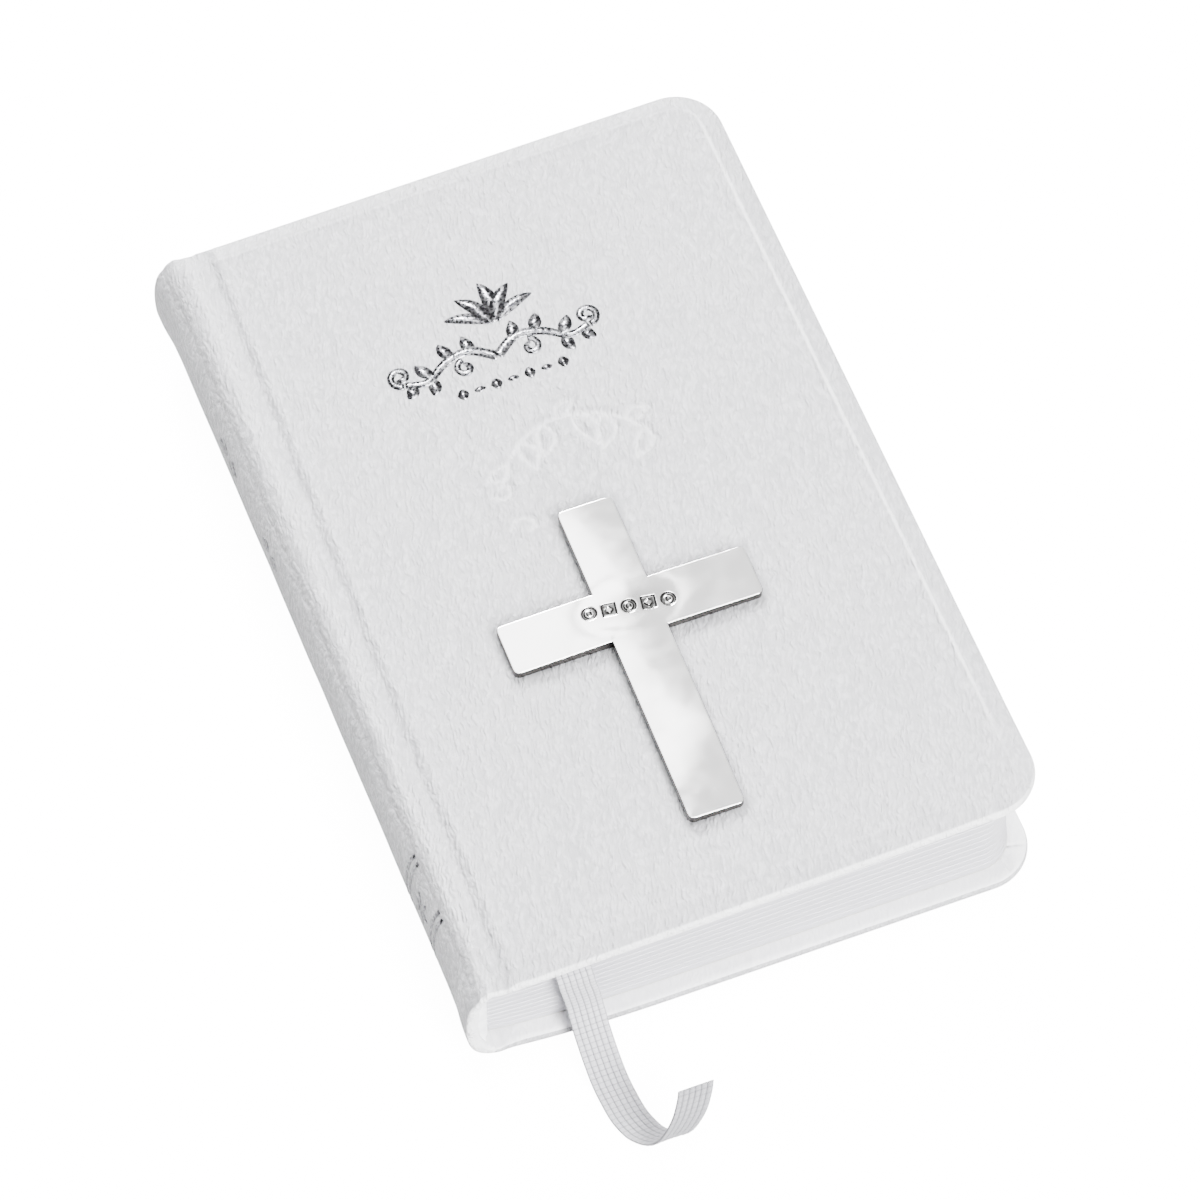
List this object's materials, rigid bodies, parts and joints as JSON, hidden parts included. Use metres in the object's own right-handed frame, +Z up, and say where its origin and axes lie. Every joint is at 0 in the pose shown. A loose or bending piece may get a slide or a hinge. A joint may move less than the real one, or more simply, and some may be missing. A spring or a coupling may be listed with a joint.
{
  "type": "pocket bible",
  "caption": "Small sewn book in a soft white leather case with rounded corners, a polished cross on the front cover and a ribbon marker.",
  "frame": {"origin": "centre of the closed book's footprint, on the surface it lies on, back cover down", "axes": "+X from the spine to the fore-edge, +Y from tail to head, +Z up out of the front cover"},
  "size_m": [0.0756, 0.1337, 0.0208],
  "materials": {
    "leather": "soft white bonded leather with a fine pebbled grain, satin",
    "board": "grey-brown millboard, matt",
    "endpaper": "white endpaper, matt",
    "pages": "thin off-white paper with silvered edges",
    "silver": "polished silver plate",
    "glue": "clear-drying adhesive film",
    "thread": "unbleached linen thread",
    "mull": "open-weave starched cotton",
    "kraft": "brown kraft paper, matt",
    "card": "thin grey card, matt",
    "ribbon": "woven ribbon with lengthwise ribs, soft sheen"
  },
  "bodies": {
    "text_block": {"section_03": "pages", "section_04": "pages", "section_05": "pages", "section_06": "pages", "section_07": "pages", "section_08": "pages", "section_09": "pages", "section_10": "pages", "section_11": "pages", "section_12": "pages", "sewing_thread_1": "thread", "sewing_thread_2": "thread", "sewing_thread_3": "thread", "sewing_thread_4": "thread", "sewing_thread_5": "thread", "sewing_thread_6": "thread", "mull": "mull", "kraft_lining": "kraft", "spine_inlay": "card", "spine_leather": "leather", "front_joint_leather": "leather", "back_joint_leather": "leather", "ribbon_marker": "ribbon", "ribbon_tail": "ribbon"},
    "front_cover": {"front_leather": "leather", "front_board": "board", "front_pastedown": "endpaper", "cross": "silver", "cross_glue": "glue"},
    "back_cover": {"back_leather": "leather", "back_board": "board", "back_pastedown": "endpaper"},
    "front_flyleaf": {"front_flyleaf": "endpaper"},
    "section_01": {"section_01": "pages"},
    "section_02": {"section_02": "pages"},
    "back_flyleaf": {"back_flyleaf": "endpaper"}
  },
  "joints": [
    {"name": "front_cover_hinge", "type": "hinge", "parent": "text_block", "child": "front_cover", "pos_m": [-0.0352, 0, 0.01772], "axis": [0, -1, 0], "range_deg": [0, 180], "deforming": ["front_joint_leather"]},
    {"name": "back_cover_hinge", "type": "hinge", "parent": "text_block", "child": "back_cover", "pos_m": [-0.0352, 0, 0.00246], "axis": [0, 1, 0], "range_deg": [0, 180], "deforming": ["back_joint_leather"]},
    {"name": "front_flyleaf_turn", "type": "hinge", "parent": "text_block", "child": "front_flyleaf", "pos_m": [-0.0352, 0, 0.01772], "axis": [0, -1, 0], "range_deg": [0, 178]},
    {"name": "section_01_turn", "type": "hinge", "parent": "text_block", "child": "section_01", "pos_m": [-0.0352, 0, 0.01772], "axis": [0, -1, 0], "range_deg": [0, 172]},
    {"name": "section_02_turn", "type": "hinge", "parent": "text_block", "child": "section_02", "pos_m": [-0.0352, 0, 0.01772], "axis": [0, -1, 0], "range_deg": [0, 167]},
    {"name": "back_flyleaf_turn", "type": "hinge", "parent": "text_block", "child": "back_flyleaf", "pos_m": [-0.0352, 0, 0.00246], "axis": [0, 1, 0], "range_deg": [0, 178]}
  ],
  "couplings": [
    {"joint": "front_flyleaf_turn", "follows": "front_cover_hinge", "ratio": 0.985},
    {"joint": "section_01_turn", "follows": "front_cover_hinge", "ratio": 0.95},
    {"joint": "section_02_turn", "follows": "front_cover_hinge", "ratio": 0.92},
    {"joint": "back_flyleaf_turn", "follows": "back_cover_hinge", "ratio": 0.985}
  ]
}
